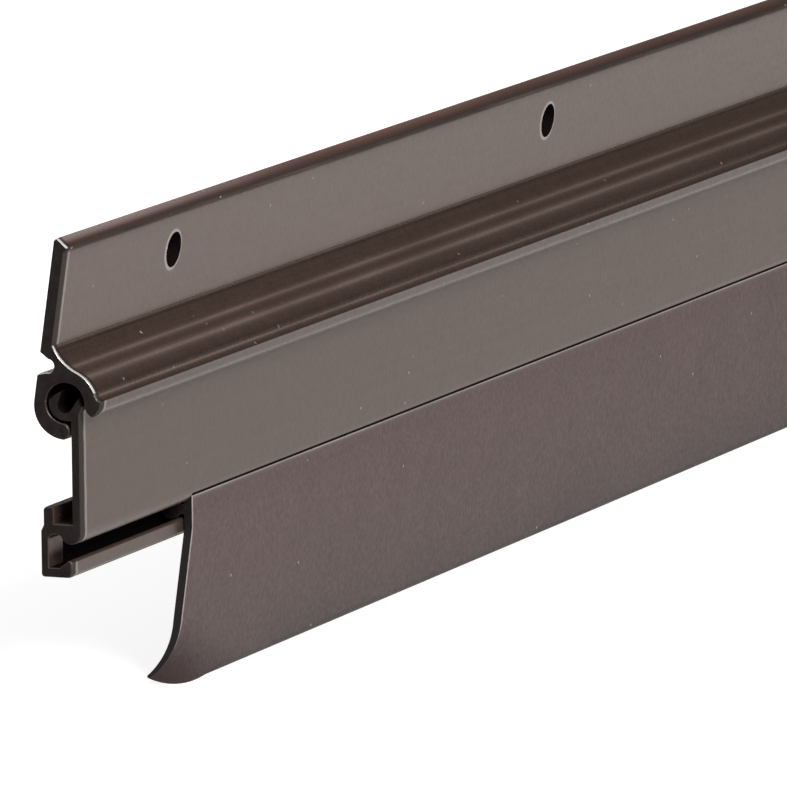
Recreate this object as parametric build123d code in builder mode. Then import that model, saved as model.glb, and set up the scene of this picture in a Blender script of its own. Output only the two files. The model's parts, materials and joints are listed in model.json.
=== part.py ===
from build123d import *
from math import acos, cos, degrees, radians, sin
import os

os.makedirs("parts", exist_ok=True)

# Automatic door bottom seal: a hinged pair of aluminium extrusions with a vinyl fin.
# The rail is screwed to the face of the door. The leaf hangs from it in a long hinge,
# and a torsion wire inside the hinge lifts the leaf when the door opens.
#
# X runs along the door, -Y is the front and +Z is up. Y = 0 is the face of the door,
# Z = 0 is the line of the screw holes and X = 0 is the middle of the length.
# Sizes are in millimetres, angles in degrees.

# Overall
length = 914.4

# Hinge: the leaf's knuckle turns in a round socket of the rail
bore_radius = 2.35
socket_wall = 1.6
hinge_clearance = 0.2
hinge_below_holes = 13.15
rest_lean = 8.5
arm_drop = 0.4
stop_gap = 0.1
arm_tip_drop = 3.3
arm_tip_height = 0.3
arm_inner_bulge = 0.27
arm_end_bulge = 0.06
arm_end_angle = 275

# Mounting flange, and the half-round relief behind the hinge
flange_thickness = 1.55
flange_above_holes = 5.75
flange_edge_round = 0.5
bead_radius = 0.35
bead_proud = 0.28
bead_below_top = 1.05
bead_start_angle = 55
bead_end_angle = -60
notch_radius = 0.75
notch_wall = 1.67
notch_angle = 125
notch_half_turn = 95
foot_rise = 1.35
nub_drop = 0.35
nub_round = 0.2

# Screw holes, in one row
hole_count = 8
hole_end_distance = 33.7
hole_diameter = 4.3
hole_edge_break = 0.12

# Hood over the hinge, and the lip along its lower edge
hood_rise = 2.4
hood_curve_start = 75
hood_curve_end = 22
lip_proud = 0.45
lip_face_top = 1.0
lip_face_height = 0.9
lip_drop = 1.05
lip_tip_reach = 1.15
lip_under_bulge = 0.12
lip_inner_bulge = 0.16

# Leaf: knuckle, web, bulb and the channel that holds the fin
web_thickness = 1.15
web_inset = 0.35
rear_arm_slope = 70
rear_arm_reach = 1.57
rear_arm_bulge = 0.19
knuckle_rear_angle = 171
front_arm_slope = 56
front_arm_reach = 1.6
front_arm_land = 0.15
knuckle_front_angle = -8
hollow_drop = 0.2
bulb_drop = 15.2
bulb_radius = 1.35
channel_depth = 5.15
channel_wall = 1.05
channel_floor = 1.2
channel_mouth = 1.9
channel_round = 0.45
channel_lip_height = 0.85
channel_lip_thickness = 0.75
channel_lip_setback = 1.25
shelf_rise = 1.05
arch_angle = 200
arch_drop = 0.25
groove_depth = 1.95
groove_lip_thickness = 1.4
groove_lip_inset = 0.35

# Torsion wire in the knuckle's hollow
wire_diameter = 1.3
wire_clearance = 0.15
wire_bend_radius = 1.2
wire_run = 450.0
wire_leg_reach = 1.9
anchor_end_distance = 4.0
anchor_clearance = 0.1
anchor_cover = 0.35
knuckle_setback = 8.0

# Vinyl fin, which stops short of the leaf's left end and curls back there
vinyl_setback = 33.0
root_radius = 1.2
root_gap = 0.1
neck_thickness = 1.1
fin_inset = 0.1
fin_thickness = 1.0
fin_tip_thickness = 0.4
fin_gap = 0.12
fin_bend_below_mouth = 2.2
fin_lean = 8.0
fin_length = 19.4
curl_length = 8.0
curl_angle = 44
curl_stretch = 0.4
curl_run = 10.0
curl_steps = 5

# Places that follow from the sizes above
right_end = length / 2
socket_radius = bore_radius + socket_wall
hinge_height = -hinge_below_holes
hole_pitch = (length - 2 * hole_end_distance) / (hole_count - 1)
knuckle_radius = bore_radius - hinge_clearance
web_front = knuckle_radius - web_inset
web_back = web_front - web_thickness
hollow_radius = wire_diameter / 2 + wire_clearance
mouth_centre = -(bulb_drop + bulb_radius + channel_mouth / 2)


def across(x, lean=0.0):
    """A plane across the length, centred on the hinge: its x is the front, its y is up."""
    forward = (0, -cos(radians(lean)), sin(radians(lean)))
    return Plane(origin=(x, -socket_radius, hinge_height), x_dir=forward, z_dir=(-1, 0, 0))


def on_circle(radius, angle, centre=(0, 0)):
    """The point at an angle on a circle, counted from the front and upwards."""
    return (centre[0] + radius * cos(radians(angle)), centre[1] + radius * sin(radians(angle)))


# Mounting rail
flange_back = -socket_radius
flange_front = flange_back + flange_thickness
flange_top = hinge_below_holes + flange_above_holes
top_corner = (flange_back + flange_edge_round, flange_top - flange_edge_round)
bead_centre = (flange_front + bead_proud - bead_radius, flange_top - bead_below_top)
bead_start = on_circle(bead_radius, bead_start_angle, bead_centre)
bead_foot = on_circle(bead_radius, bead_end_angle, bead_centre)
front_top = bead_foot[1] - bead_radius / 2
hood_start = on_circle(socket_radius, hood_curve_start)
hood_start_direction = on_circle(1, hood_curve_start + 90)
hood_end = on_circle(socket_radius, hood_curve_end)
lip_front = socket_radius + lip_proud
lip_face_bottom = lip_face_top - lip_face_height
lip_tip = (bore_radius + lip_tip_reach, -lip_drop)
notch_centre = on_circle(bore_radius + notch_wall + notch_radius, notch_angle)
nub_top = notch_centre[1] - notch_radius - nub_drop

# The arm's tip stops just behind the leaf's web, at the angle where the leaf rests
web_at_tip = (web_back + arm_tip_drop * sin(radians(rest_lean))) / cos(radians(rest_lean))
arm_tip_front = web_at_tip - stop_gap
arm_tip_bottom = -arm_tip_drop - arm_tip_height

with BuildPart() as mounting_rail:
    with BuildSketch(across(right_end)):
        with BuildLine():
            # Flange, from its foot up the back, over the beaded top edge and down the front
            Line((flange_back, socket_radius + foot_rise), (flange_back, top_corner[1]))
            ThreePointArc(
                (flange_back, top_corner[1]),
                on_circle(flange_edge_round, 135, top_corner),
                (top_corner[0], flange_top),
            )
            Line((top_corner[0], flange_top), bead_start)
            ThreePointArc(bead_start, on_circle(bead_radius, 0, bead_centre), bead_foot)
            Polyline(
                bead_foot,
                (flange_front, front_top),
                (flange_front, socket_radius + hood_rise),
            )
            # Hood, hollow at first and then round about the hinge
            TangentArc(
                hood_start,
                (flange_front, socket_radius + hood_rise),
                tangent=hood_start_direction,
            )
            CenterArc((0, 0), socket_radius, hood_curve_end, hood_curve_start - hood_curve_end)
            # Lip: a fine groove, a flat front and a slanted underside
            Polyline(
                hood_end,
                (lip_front - lip_proud, lip_face_top + lip_proud / 3),
                (lip_front, lip_face_top),
                (lip_front, lip_face_bottom),
            )
            SagittaArc((lip_front, lip_face_bottom), lip_tip, lip_under_bulge)
            SagittaArc(lip_tip, (bore_radius, 0), lip_inner_bulge)
            # Socket and the arm that wraps below the knuckle
            CenterArc((0, 0), bore_radius, 0, 270)
            SagittaArc((0, -bore_radius), (arm_tip_front, -arm_tip_drop), arm_inner_bulge)
            Line((arm_tip_front, -arm_tip_drop), (arm_tip_front, arm_tip_bottom))
            SagittaArc(
                (arm_tip_front, arm_tip_bottom),
                on_circle(socket_radius, arm_end_angle, (0, -arm_drop)),
                arm_end_bulge,
            )
            CenterArc((0, -arm_drop), socket_radius, 180, arm_end_angle - 180)
            # Back of the arm, and the relief between it and the flange's foot
            Polyline(
                (flange_back, -arm_drop),
                (flange_back, nub_top - nub_round),
                (flange_back + nub_round, nub_top),
                on_circle(notch_radius, -notch_half_turn, notch_centre),
            )
            ThreePointArc(
                on_circle(notch_radius, -notch_half_turn, notch_centre),
                on_circle(notch_radius, 0, notch_centre),
                on_circle(notch_radius, notch_half_turn, notch_centre),
            )
            Line(
                on_circle(notch_radius, notch_half_turn, notch_centre),
                (flange_back, socket_radius + foot_rise),
            )
        make_face()
    extrude(amount=length)

    # Screw holes, with their front edge broken
    with Locations(Plane(origin=(0, -flange_thickness, 0), x_dir=(1, 0, 0), z_dir=(0, -1, 0))):
        with GridLocations(hole_pitch, hole_pitch, hole_count, 1):
            CounterSinkHole(
                radius=hole_diameter / 2,
                counter_sink_radius=hole_diameter / 2 + hole_edge_break,
                counter_sink_angle=90,
                depth=2 * flange_thickness,
            )

    # Anchor hole for the torsion wire, drilled from the door side into the socket
    wire_centre = across(right_end - anchor_end_distance, rest_lean).from_local_coords(
        (0, -hollow_drop, 0)
    )
    anchor_plane = Plane(
        origin=(wire_centre.X, 0, wire_centre.Z), x_dir=(1, 0, 0), z_dir=(0, -1, 0)
    )
    with BuildSketch(anchor_plane):
        Circle(wire_diameter / 2 + anchor_clearance)
    extrude(amount=socket_radius, mode=Mode.SUBTRACT)

mounting_rail.part.label = "mounting_rail"
export_step(mounting_rail.part, "parts/mounting_rail.step")


# Swing leaf, drawn upright about the hinge and then set at its lean
hollow_centre = (0, -hollow_drop)
rear_arm_root = on_circle(hollow_radius, rear_arm_slope + 90, hollow_centre)
rear_arm_tip = on_circle(rear_arm_reach, rear_arm_slope, rear_arm_root)
front_arm_root = on_circle(hollow_radius, front_arm_slope - 90, hollow_centre)
front_arm_tip = on_circle(front_arm_reach, front_arm_slope, front_arm_root)
front_arm_end = (front_arm_tip[0] + front_arm_land, front_arm_tip[1])
web_front_angle = -degrees(acos(web_front / knuckle_radius))
web_back_angle = -degrees(acos(web_back / knuckle_radius))
bulb_centre = (web_front - bulb_radius, -bulb_drop)
channel_back = web_front - channel_depth
channel_inner = channel_back + channel_wall
lip_top = mouth_centre - channel_mouth / 2
floor_top = lip_top - channel_lip_height
floor_bottom = floor_top - channel_floor
channel_lip_front = web_front - channel_lip_setback
channel_lip_back = channel_lip_front - channel_lip_thickness
shelf_top = shelf_rise - bulb_drop
arch_top = -bulb_drop - arch_drop
groove_top = shelf_top + groove_depth
groove_outer = channel_back + groove_lip_inset
groove_inner = groove_outer + groove_lip_thickness

with BuildPart() as swing_leaf:
    with BuildSketch(across(right_end, rest_lean)):
        with BuildLine():
            # Knuckle: the hollow is open at the top between two arms
            ThreePointArc(
                rear_arm_root,
                on_circle(hollow_radius, -90, hollow_centre),
                front_arm_root,
            )
            Polyline(
                front_arm_root,
                front_arm_tip,
                front_arm_end,
                on_circle(knuckle_radius, knuckle_front_angle),
            )
            ThreePointArc(
                on_circle(knuckle_radius, knuckle_front_angle),
                on_circle(knuckle_radius, (knuckle_front_angle + web_front_angle) / 2),
                on_circle(knuckle_radius, web_front_angle),
            )
            # Web, down its front to the bulb
            Line(on_circle(knuckle_radius, web_front_angle), (web_front, -bulb_drop))
            ThreePointArc(
                (web_front, -bulb_drop),
                on_circle(bulb_radius, (arch_angle - 360) / 2, bulb_centre),
                on_circle(bulb_radius, arch_angle, bulb_centre),
            )
            # Channel: arched roof, back wall, floor and the lip at its mouth
            ThreePointArc(
                on_circle(bulb_radius, arch_angle, bulb_centre),
                ((bulb_centre[0] - bulb_radius + channel_inner) / 2, arch_top),
                (channel_inner, arch_top - channel_wall / 2),
            )
            Polyline(
                (channel_inner, arch_top - channel_wall / 2),
                (channel_inner, floor_top),
                (channel_lip_back - channel_lip_height, floor_top),
                (channel_lip_back, lip_top - channel_lip_height / 4),
            )
            ThreePointArc(
                (channel_lip_back, lip_top - channel_lip_height / 4),
                (channel_lip_front - channel_lip_thickness / 2, lip_top),
                (channel_lip_front, lip_top - channel_lip_height / 3),
            )
            Polyline(
                (channel_lip_front, lip_top - channel_lip_height / 3),
                (channel_lip_front, floor_bottom + channel_round),
                (channel_lip_front - channel_round, floor_bottom),
                (channel_back + channel_round, floor_bottom),
            )
            ThreePointArc(
                (channel_back + channel_round, floor_bottom),
                on_circle(
                    channel_round, 225, (channel_back + channel_round, floor_bottom + channel_round)
                ),
                (channel_back, floor_bottom + channel_round),
            )
            # Back of the channel, up to the lip of the open groove behind the web
            Polyline(
                (channel_back, floor_bottom + channel_round),
                (channel_back, shelf_top - shelf_rise / 2 - groove_lip_inset),
                (groove_outer, shelf_top - shelf_rise / 2 + groove_lip_inset),
                (groove_outer, groove_top - channel_round),
            )
            ThreePointArc(
                (groove_outer, groove_top - channel_round),
                on_circle(
                    channel_round, 135, (groove_outer + channel_round, groove_top - channel_round)
                ),
                (groove_outer + channel_round, groove_top),
            )
            Polyline(
                (groove_outer + channel_round, groove_top),
                (groove_inner, groove_top),
                (groove_inner, shelf_top),
                (web_back, shelf_top),
                on_circle(knuckle_radius, web_back_angle),
            )
            # Round the back of the knuckle to the rear arm
            ThreePointArc(
                on_circle(knuckle_radius, web_back_angle),
                on_circle(knuckle_radius, (web_back_angle - 360 + knuckle_rear_angle) / 2),
                on_circle(knuckle_radius, knuckle_rear_angle),
            )
            SagittaArc(
                on_circle(knuckle_radius, knuckle_rear_angle), rear_arm_tip, rear_arm_bulge
            )
            Line(rear_arm_tip, rear_arm_root)
        make_face()
    extrude(amount=length)

    # The knuckle is cut back at the right end, where the wire turns into the rail
    with BuildSketch(across(right_end)):
        Circle(bore_radius)
    extrude(amount=knuckle_setback, mode=Mode.SUBTRACT)

swing_leaf.part.label = "swing_leaf"
export_step(swing_leaf.part, "parts/swing_leaf.step")


# Lift spring: a straight torsion wire with a short leg at each end
leaf_leg_plane = across(right_end - anchor_end_distance - wire_run, rest_lean)
leaf_corner = leaf_leg_plane.from_local_coords((0, -hollow_drop, 0))
leaf_leg_end = on_circle(wire_leg_reach, rear_arm_slope, hollow_centre)
leaf_leg_tip = leaf_leg_plane.from_local_coords((leaf_leg_end[0], leaf_leg_end[1], 0))
anchor_tip = Vector(wire_centre.X, -anchor_cover, wire_centre.Z)

with BuildPart() as lift_spring:
    with BuildLine() as wire_path:
        FilletPolyline(leaf_leg_tip, leaf_corner, wire_centre, anchor_tip, radius=wire_bend_radius)
    with BuildSketch(Plane(origin=wire_path.line @ 0, z_dir=wire_path.line % 0)):
        Circle(wire_diameter / 2)
    sweep()

lift_spring.part.label = "lift_spring"
export_step(lift_spring.part, "parts/lift_spring.step")


# Vinyl sweep: a round root in the channel, a neck through its mouth, and the fin
fin_front = web_front - fin_inset
fin_back = fin_front - fin_thickness
fin_bend = mouth_centre - fin_bend_below_mouth
root_centre = (channel_inner + root_gap + root_radius, mouth_centre)
crown_radius = bulb_radius + fin_gap
crown_front_angle = -degrees(acos((fin_front - bulb_centre[0]) / crown_radius))
crown_back_angle = -degrees(acos((fin_back - bulb_centre[0]) / crown_radius))


def fin_point(distance, bend, depth):
    """A point of the fin: so far down its front, bent back so far, so deep behind the front."""
    straight = min(distance, fin_length - curl_length)
    curled = distance - straight
    turn = radians(bend) * curled / curl_length
    heading = radians(fin_lean) + turn / 2
    chord = curled * (1 - turn**2 / 24)
    facing = radians(fin_lean) + turn
    return (
        fin_front - straight * sin(radians(fin_lean)) - chord * sin(heading) - depth * cos(facing),
        fin_bend - straight * cos(radians(fin_lean)) - chord * cos(heading) + depth * sin(facing),
    )


def fin_section(x, bend=0.0, stretch=0.0):
    """The fin's outline across the length, with its lower edge bent back and drawn down."""
    straight = fin_length - curl_length
    tip = fin_length + stretch
    middle = (straight + tip) / 2
    middle_depth = (fin_thickness + fin_tip_thickness) / 2
    with BuildSketch(across(x, rest_lean)) as section:
        with BuildLine():
            Line((fin_back, fin_bend), on_circle(crown_radius, crown_back_angle, bulb_centre))
            ThreePointArc(
                on_circle(crown_radius, crown_back_angle, bulb_centre),
                on_circle(crown_radius, (crown_back_angle + crown_front_angle) / 2, bulb_centre),
                on_circle(crown_radius, crown_front_angle, bulb_centre),
            )
            Polyline(
                on_circle(crown_radius, crown_front_angle, bulb_centre),
                (fin_front, fin_bend),
                fin_point(straight, bend, 0),
            )
            Spline(
                fin_point(straight, bend, 0),
                fin_point(middle, bend, 0),
                fin_point(tip, bend, 0),
            )
            Line(fin_point(tip, bend, 0), fin_point(tip, bend, fin_tip_thickness))
            Spline(
                fin_point(tip, bend, fin_tip_thickness),
                fin_point(middle, bend, middle_depth),
                fin_point(straight, bend, fin_thickness),
            )
            Line(fin_point(straight, bend, fin_thickness), (fin_back, fin_bend))
        make_face()
    return section.sketch.face()


vinyl_left = vinyl_setback - length / 2
vinyl_length = length - vinyl_setback
straight_fin = fin_section(right_end)
curled_fins = []
for step in range(curl_steps + 1):
    share = step / curl_steps
    section_x = vinyl_left + curl_run * share
    section_bend = curl_angle * (1 - share) ** 3
    section_stretch = curl_stretch * (1 - share**2)
    curled_fins.append(fin_section(section_x, section_bend, section_stretch))

with BuildPart() as vinyl_sweep:
    with BuildSketch(across(right_end, rest_lean)):
        with Locations(root_centre):
            Circle(root_radius)
        neck_length = fin_front - fin_thickness / 2 - root_centre[0]
        with Locations((root_centre[0] + neck_length / 2, mouth_centre)):
            Rectangle(neck_length, neck_thickness)
    extrude(amount=vinyl_length)
    extrude(straight_fin, amount=vinyl_length - curl_run)
    loft(curled_fins)

vinyl_sweep.part.label = "vinyl_sweep"
export_step(vinyl_sweep.part, "parts/vinyl_sweep.step")
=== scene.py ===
"""Automatic door bottom seal: two hinged bronze extrusions, a vinyl fin and a torsion wire."""

import json
from math import acos, asin, atan2, cos, hypot, pi, radians, sin, sqrt, tan

import bmesh
import bpy
from bpy.props import FloatProperty, FloatVectorProperty, IntProperty, PointerProperty
from bpy.types import Operator, Panel, PropertyGroup
from mathutils import Matrix, Vector

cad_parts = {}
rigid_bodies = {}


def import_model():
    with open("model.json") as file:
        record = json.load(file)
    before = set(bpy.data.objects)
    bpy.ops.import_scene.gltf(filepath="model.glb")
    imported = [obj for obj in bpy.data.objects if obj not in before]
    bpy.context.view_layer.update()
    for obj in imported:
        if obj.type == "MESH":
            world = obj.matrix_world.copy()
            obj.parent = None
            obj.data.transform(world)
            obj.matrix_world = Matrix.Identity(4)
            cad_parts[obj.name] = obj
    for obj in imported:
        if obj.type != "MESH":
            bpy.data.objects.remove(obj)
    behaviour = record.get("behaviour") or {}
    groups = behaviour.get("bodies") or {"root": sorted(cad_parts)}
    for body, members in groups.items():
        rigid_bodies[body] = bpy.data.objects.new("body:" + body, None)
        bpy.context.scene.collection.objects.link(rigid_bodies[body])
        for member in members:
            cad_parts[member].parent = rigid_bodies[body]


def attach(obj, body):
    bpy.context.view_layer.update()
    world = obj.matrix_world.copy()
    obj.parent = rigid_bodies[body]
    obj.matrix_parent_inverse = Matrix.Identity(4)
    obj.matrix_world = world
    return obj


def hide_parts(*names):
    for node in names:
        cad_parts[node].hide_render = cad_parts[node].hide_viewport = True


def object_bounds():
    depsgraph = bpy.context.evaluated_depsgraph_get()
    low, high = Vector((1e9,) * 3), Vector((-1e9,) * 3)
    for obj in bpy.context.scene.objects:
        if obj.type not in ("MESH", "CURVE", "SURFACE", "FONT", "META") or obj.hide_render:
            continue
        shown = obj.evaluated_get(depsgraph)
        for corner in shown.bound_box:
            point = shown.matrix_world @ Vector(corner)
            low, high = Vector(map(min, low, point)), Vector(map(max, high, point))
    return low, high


bl_info = {
    "name": "Door Bottom Seal",
    "version": (1, 0, 0),
    "blender": (4, 5, 0),
    "location": "3D View > Sidebar > Door Seal",
    "description": "Models an automatic door bottom seal around its packed frame",
    "category": "Object",
}

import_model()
cad_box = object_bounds()

# Steps of the curves, and the distances below which points and curves count as one
ARC_STEP = radians(6)
SHORTEST_STEP = 0.00009
CURL_STEPS = 14
WELD = 2e-6
FLAT_BULGE = 1e-5
CLOSE = 0.00005
SMOOTH_ANGLE = radians(28)

# Rings that round off a cut end: how far each goes along and inwards, in millimetres
END_RINGS = ((0.7, 0.008), (0.45, 0.014), (0.25, 0.022), (0.1, 0.03), (0.05, 0.035), (0.02, 0.035))
END_RUN = sum(along for along, _ in END_RINGS) / 1000

# How far the flat curves of the sections stand off their chords
LIP_BOW = 0.00012
MOUTH_BOW = 0.00016
ARM_INNER_BOW = 0.00027
ARM_OUTER_BOW = 0.00006
REAR_ARM_BOW = 0.00019

# The bulb's foot above the fin that gets the painted shade of the joint's gap, in degrees below
# its centre
SHADED_FOOT = (11, 34)

# Painted streaks along the rail and the leaf, which stand in for highlights and for dark
# reflections and shade: height and width in millimetres, strength near and far, colour
STREAKS = (
    (5.75, 0.4, 1.0, 0.5, "top_sheen"),
    (-6.95, 0.08, 0.5, 0.3, "streak_highlight"),
    (-7.25, 0.09, 0.8, 0.6, "cut_face_and_shade"),
    (-9.33, 0.2, 0.5, 0.6, "cut_face_and_shade"),
    (-8.96, 0.11, 0.8, 0.55, "streak_highlight"),
    (-9.76, 0.17, 0.9, 0.6, "streak_highlight"),
    (-11.1, 0.3, 0.5, 0.4, "cut_face_and_shade"),
    (-11.63, 0.11, 0.9, 0.25, "streak_highlight"),
    (-12.7, 0.3, 0.7, 0.7, "cut_face_and_shade"),
    (-13.35, 0.1, 0.5, 0.6, "streak_highlight"),
    (-27.9, 0.1, 0.1, 0.4, "streak_highlight"),
)

# The camera's sides and place, solved from the photo's vanishing points
CAMERA_RIGHT = Vector((0.37478, -0.91861, 0.12530))
CAMERA_UP = Vector((0.14525, 0.19167, 0.97065))
CAMERA_PLACE = (-1.8053, -0.5529, 0.2974)


# Sizes and colours


def mm(name, description, size):
    """A length, given here in millimetres."""
    return FloatProperty(
        name=name,
        description=description,
        default=size / 1000,
        unit="LENGTH",
        subtype="DISTANCE",
        precision=5,
    )


def deg(name, description, angle):
    """An angle, given here in degrees."""
    return FloatProperty(
        name=name, description=description, default=radians(angle), subtype="ANGLE"
    )


def colour(name, description, *parts):
    """A colour, given here in linear parts of one."""
    return FloatVectorProperty(
        name=name, description=description, default=parts, size=3, min=0, max=1, subtype="COLOR"
    )


def amount(name, description, default, unit="NONE"):
    """A plain number, or one in a unit that isn't a length."""
    return FloatProperty(name=name, description=description, default=default, min=0, unit=unit)


class SealHingeSizes(PropertyGroup):
    """The hinge that the rail and the leaf share"""

    length: mm("Length", "Length of the rail and the leaf", 914.4)
    below_holes: mm("Below holes", "Hinge axis below the screw holes", 13.15)
    bore_radius: mm("Bore radius", "Radius of the round socket", 2.35)
    socket_wall: mm("Socket wall", "Metal round the socket", 1.6)
    clearance: mm("Clearance", "Gap between knuckle and socket", 0.2)
    lean: deg("Lean", "Lean of the leaf at rest", 8.5)


class SealRailSizes(PropertyGroup):
    """Section and holes of the mounting rail"""

    flange_thickness: mm("Flange thickness", "Thickness of the flange", 1.55)
    flange_above_holes: mm("Flange above holes", "Metal over the holes", 5.75)
    flange_edge_round: mm("Top edge round", "Rounding of the top back edge", 0.5)
    bead_radius: mm("Bead radius", "Radius of the top bead", 0.35)
    bead_proud: mm("Bead proud", "Bead in front of the flange", 0.28)
    bead_below_top: mm("Bead below top", "Bead centre below the top", 1.05)
    notch_radius: mm("Relief radius", "Half-round relief at the back", 0.75)
    notch_wall: mm("Relief wall", "Metal between bore and relief", 1.67)
    notch_angle: deg("Relief angle", "Direction of the relief", 125)
    foot_rise: mm("Foot rise", "Foot of the flange above the hood", 1.35)
    nub_drop: mm("Nub drop", "Nub below the relief", 0.35)
    nub_round: mm("Nub round", "Rounding of the nub", 0.2)
    hole_diameter: mm("Hole diameter", "Diameter of a screw hole", 4.3)
    hole_taper: mm("Hole taper", "Radius lost towards a hole's back", 0.3)
    # Width of the pale rim round a screw hole, which also carries a painted highlight
    hole_rim: mm("Hole rim", "Pale rim round a screw hole", 0.35)
    hole_pitch: mm("Hole pitch", "Distance from hole to hole", 121.0)
    hole_count: IntProperty(name="Holes", description="Screw holes in the row", default=8, min=1)
    hood_rise: mm("Hood rise", "Height of the hood's hollow", 2.4)
    hood_start: deg("Hood start", "Where the hood turns round", 75)
    hood_end: deg("Hood end", "Where the hood meets the lip", 22)
    lip_proud: mm("Lip proud", "Lip in front of the hood", 0.45)
    lip_top: mm("Lip top", "Top of the lip's face", 1.0)
    lip_height: mm("Lip height", "Height of the lip's face", 0.9)
    lip_drop: mm("Lip drop", "Lip's tip below the axis", 1.05)
    lip_reach: mm("Lip reach", "Lip's tip in front of the bore", 1.15)
    arm_drop: mm("Arm drop", "Lower arm below the round", 0.4)
    arm_tip_drop: mm("Arm tip drop", "Arm's tip below the axis", 3.3)
    arm_tip_height: mm("Arm tip height", "Flat of the arm's tip", 0.3)
    arm_end: deg("Arm end", "Where the arm's round ends", 275)
    stop_gap: mm("Stop gap", "Gap between arm and leaf", 0.1)


class SealLeafSizes(PropertyGroup):
    """Section of the swing leaf"""

    web_thickness: mm("Web thickness", "Thickness of the web", 1.15)
    web_inset: mm("Web inset", "Web behind the knuckle's front", 0.35)
    rear_arm_slope: deg("Rear arm slope", "Slope of the rear arm", 70)
    rear_arm_reach: mm("Rear arm reach", "Length of the rear arm", 1.57)
    front_arm_slope: deg("Front arm slope", "Slope of the front arm", 56)
    front_arm_reach: mm("Front arm reach", "Length of the front arm", 1.6)
    front_arm_land: mm("Front arm land", "Flat of the front arm", 0.15)
    knuckle_front: deg("Knuckle front", "Front end of the knuckle's round", -8)
    knuckle_rear: deg("Knuckle rear", "Rear end of the knuckle's round", 171)
    hollow_radius: mm("Hollow radius", "Radius of the wire's hollow", 0.8)
    hollow_drop: mm("Hollow drop", "Hollow below the axis", 0.2)
    bulb_drop: mm("Bulb drop", "Bulb below the axis", 15.2)
    bulb_radius: mm("Bulb radius", "Radius of the bulb", 1.35)
    arch_angle: deg("Arch angle", "Where the bulb meets the roof", 200)
    arch_drop: mm("Arch drop", "Channel's roof below the bulb's centre", 0.25)
    channel_depth: mm("Channel depth", "Depth of the channel", 5.15)
    channel_wall: mm("Channel wall", "Back wall of the channel", 1.05)
    channel_floor: mm("Channel floor", "Floor of the channel", 1.2)
    channel_mouth: mm("Channel mouth", "Height of the mouth", 1.9)
    channel_round: mm("Channel round", "Rounding of the corners", 0.45)
    lip_height: mm("Lip height", "Height of the channel's lip", 0.85)
    # Past this run from the left end, the inside of the channel gets painted shade
    lit_depth: mm("Lit depth", "Run of the channel that isn't dark inside", 4.0)
    lip_thickness: mm("Lip thickness", "Thickness of the lip", 0.75)
    lip_setback: mm("Lip setback", "Lip behind the web's front", 1.25)
    shelf_rise: mm("Shelf rise", "Groove's floor above the bulb", 1.05)
    groove_depth: mm("Groove depth", "Depth of the rear groove", 1.95)
    groove_lip: mm("Groove lip", "Thickness of the groove's lip", 1.4)
    groove_inset: mm("Groove inset", "Groove's lip in from the back", 0.35)
    knuckle_setback: mm("Knuckle setback", "Knuckle cut back at the right", 8.0)


class SealFinSizes(PropertyGroup):
    """The vinyl fin and its curled corner"""

    setback: mm("Setback", "Fin short of the leaf's left end", 33.0)
    root_radius: mm("Root radius", "Round root in the channel", 1.2)
    root_gap: mm("Root gap", "Root off the channel's back", 0.1)
    neck: mm("Neck", "Thickness of the neck", 1.1)
    inset: mm("Inset", "Fin behind the web's front", 0.1)
    thickness: mm("Thickness", "Thickness of the fin", 1.0)
    tip_thickness: mm("Tip thickness", "Thickness of the free edge", 0.4)
    gap: mm("Gap", "Fin below the bulb", 0.04)
    bend_drop: mm("Bend drop", "Bend below the mouth", 2.2)
    lean: deg("Lean", "Lean of the fin behind the leaf", 8)
    length: mm("Length", "Length of the fin below its bend", 19.4)
    curl_length: mm("Curl length", "Part of the fin that curls", 8.0)
    curl_angle: deg("Curl angle", "Turn of the curl at the left end", 44)
    curl_stretch: mm("Curl stretch", "Fin drawn down at its corner", 0.4)
    curl_run: mm("Curl run", "Run over which the curl fades", 10.0)


class SealWireSizes(PropertyGroup):
    """The torsion wire"""

    diameter: mm("Diameter", "Diameter of the wire", 1.3)
    bend_radius: mm("Bend radius", "Radius of its two bends", 1.2)
    run: mm("Run", "Length from leg to leg", 450.0)
    leg_reach: mm("Leg reach", "Reach of the leg in the knuckle", 1.9)
    end_distance: mm("End distance", "Anchor from the rail's end", 4.0)
    anchor_cover: mm("Anchor cover", "Leg short of the door side", 0.35)
    anchor_radius: mm("Anchor radius", "Radius of the anchor hole", 0.75)


class SealColours(PropertyGroup):
    """Colours of the finishes, and of the painted highlights and shade"""

    bronze: colour("Bronze", "Bronze anodised metal", 0.035, 0.02, 0.015)
    bronze_light: colour("Light bronze", "Lighter grain", 0.075, 0.046, 0.035)
    # Painted highlight: streaks along the hood and the lower edges of the lip and the leaf, and
    # the painted sheen on the flange
    streak_highlight: colour("Hood streak", "Streaks along the hood", 0.21, 0.15, 0.13)
    # Painted reddish sheen along the top edge
    top_sheen: colour("Top streak", "Reddish top edge", 0.2, 0.11, 0.095)
    # The colour of the saw-cut ends, also used for painted shade: dark bands along the hood, the
    # shadow under the bead and the recesses
    cut_face_and_shade: colour("Cut face", "Saw-cut ends", 0.007, 0.004, 0.0045)
    # Painted dark reflection in the band at the cut ends, and the cloud on the cut end faces
    end_shade_and_cut_cloud: colour("End shade and cut cloud", "Band rolled over by the saw", 0.02, 0.019, 0.017)
    # Pale grit, and painted highlights at the edges, the ends and the hole rims
    grit_and_highlight: colour("Grit and highlight", "Metal where the finish is worn", 0.6, 0.57, 0.55)
    vinyl: colour("Vinyl", "Brown vinyl", 0.07, 0.038, 0.033)
    vinyl_cut: colour("Vinyl cut", "Cut end of the vinyl", 0.008, 0.006, 0.006)
    curl_shade: colour("Curl shade", "Shade in the curled corner", 0.022, 0.009, 0.008)
    dust: colour("Dust", "Specks of dust", 0.27, 0.23, 0.21)
    spring_steel: colour("Spring steel", "Drawn steel wire", 0.5, 0.49, 0.48)


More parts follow.
